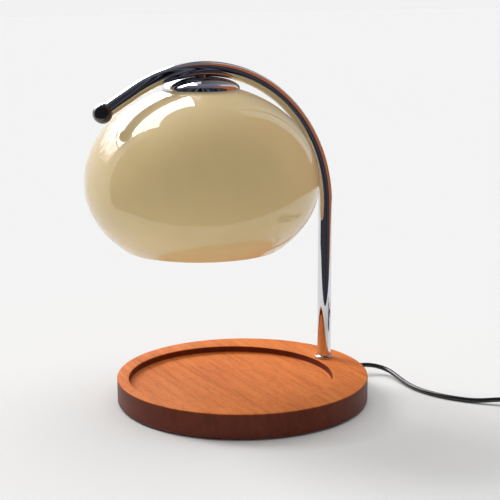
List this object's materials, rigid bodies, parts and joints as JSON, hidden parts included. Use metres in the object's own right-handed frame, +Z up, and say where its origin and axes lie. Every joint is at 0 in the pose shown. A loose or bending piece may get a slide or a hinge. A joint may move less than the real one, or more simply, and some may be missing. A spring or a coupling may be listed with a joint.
{
  "type": "candle warmer lamp",
  "caption": "Table lamp that warms a candle from above: round wooden tray, bent chrome arm, domed glass shade, reflector bulb and a cord with a dimmer.",
  "frame": {"origin": "centre of the base's underside, on the surface that the lamp stands on", "axes": "+Z up, +X from the base's centre towards the post; the arm lies in the plane y = 0"},
  "size_m": [0.4781, 0.3238, 0.2895],
  "materials": {
    "wood": "satin",
    "pad": "matt",
    "chrome": "polished",
    "zinc_steel": "satin",
    "black_ball": "gloss",
    "opal_glass": "gloss, cased glass that reads as solid",
    "silicone": "matt",
    "ceramic": "matt",
    "lamp_glass": "reflector coating",
    "lens_glass": "frosted",
    "cord_black": "gloss",
    "black_rubber": "matt",
    "black_plastic": "satin",
    "board": "satin",
    "capacitor_film": "gloss"
  },
  "bodies": {
    "root": {"base_disc": "wood", "underside_pad": "pad", "post_ferrule": "chrome", "post_stud": "zinc_steel", "post_washer": "zinc_steel", "post_nut": "zinc_steel", "arm_tube": "chrome", "ball_cap": "black_ball", "inner_wires": "black_rubber", "hanger_nipple": "zinc_steel", "shade_glass": "opal_glass", "cap_dome": "chrome", "cap_gasket": "silicone", "gallery_gasket": "silicone", "gallery_plate": "zinc_steel", "gallery_nut": "zinc_steel", "bracket_nuts": "zinc_steel", "holder_bracket": "zinc_steel", "lamp_holder": "ceramic", "holder_screws": "zinc_steel", "cord_relief": "black_rubber", "cord_lead": "cord_black", "cord_middle": "cord_black", "cord_coil": "cord_black", "cord_tail": "cord_black", "cord_tie": "black_rubber", "dimmer_base": "black_plastic", "dimmer_lid": "black_plastic", "dimmer_pot": "zinc_steel", "dimmer_board": "board", "dimmer_triac": "black_plastic", "dimmer_capacitor": "capacitor_film", "dimmer_screws": "zinc_steel", "plug_body": "black_rubber", "plug_pins": "chrome", "plug_sleeves": "black_plastic"},
    "bulb": {"bulb_body": "lamp_glass", "bulb_lens": "lens_glass", "bulb_pins": "zinc_steel"},
    "wheel": {"dimmer_wheel": "black_plastic"}
  },
  "joints": [
    {"name": "bulb_twist", "type": "hinge", "parent": "root", "child": "bulb", "pos_m": [-0.0375, 0, 0.2], "axis": [0, 0, -1], "range_deg": [0, 30]},
    {"name": "dimmer_turn", "type": "hinge", "parent": "root", "child": "wheel", "pos_m": [0.21481, -0.17142, 0.0105], "axis": [0, 0, 1], "range_deg": [0, 270]}
  ]
}
